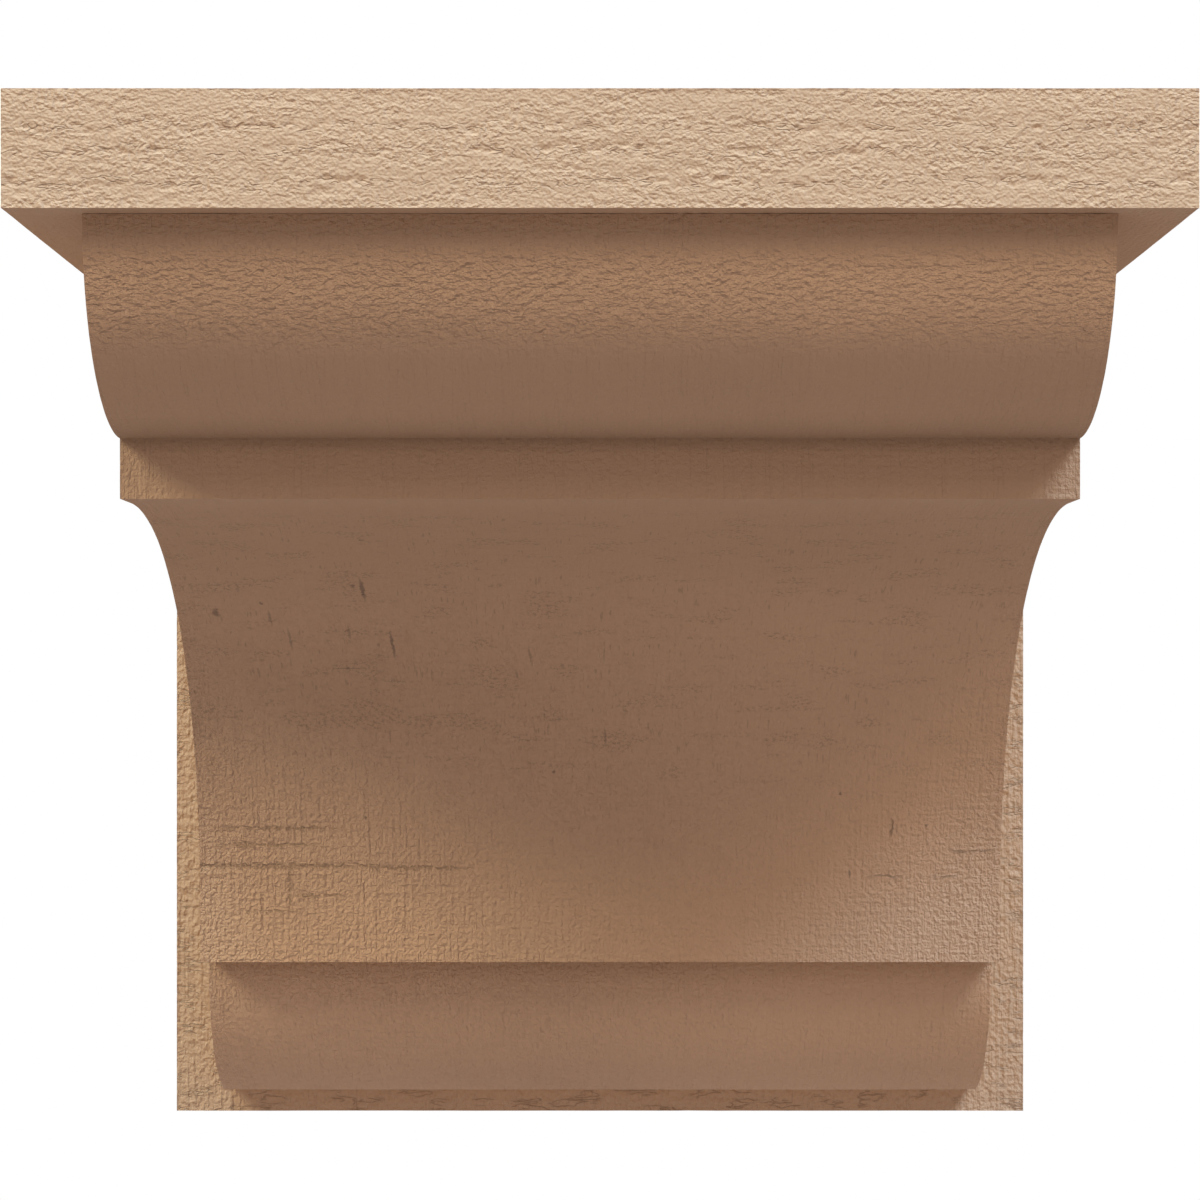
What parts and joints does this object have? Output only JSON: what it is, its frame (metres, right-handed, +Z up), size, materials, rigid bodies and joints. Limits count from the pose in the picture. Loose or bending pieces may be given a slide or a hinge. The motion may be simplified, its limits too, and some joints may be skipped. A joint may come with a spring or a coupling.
{
  "type": "corbel",
  "caption": "Rough-sawn timber corbel: a moulded block with ovolo, band, cove and foot lug, planted on a flat back board under an overhanging cap board.",
  "frame": {"origin": "centre of the wall face, the flat back of the back board and of the cap board's rear edge", "axes": "+Z up, +Y into the wall so that the corbel faces -Y, +X to the right of someone facing the corbel"},
  "size_m": [0.254, 0.254, 0.254],
  "materials": {
    "cap_wood": "rough-sawn, matt tan primer",
    "back_wood": "rough-sawn with level saw ridges, matt tan primer",
    "block_wood": "sawn, matt tan primer"
  },
  "bodies": {
    "root": {"cap_board": "cap_wood", "back_board": "back_wood", "body": "block_wood"}
  },
  "joints": []
}
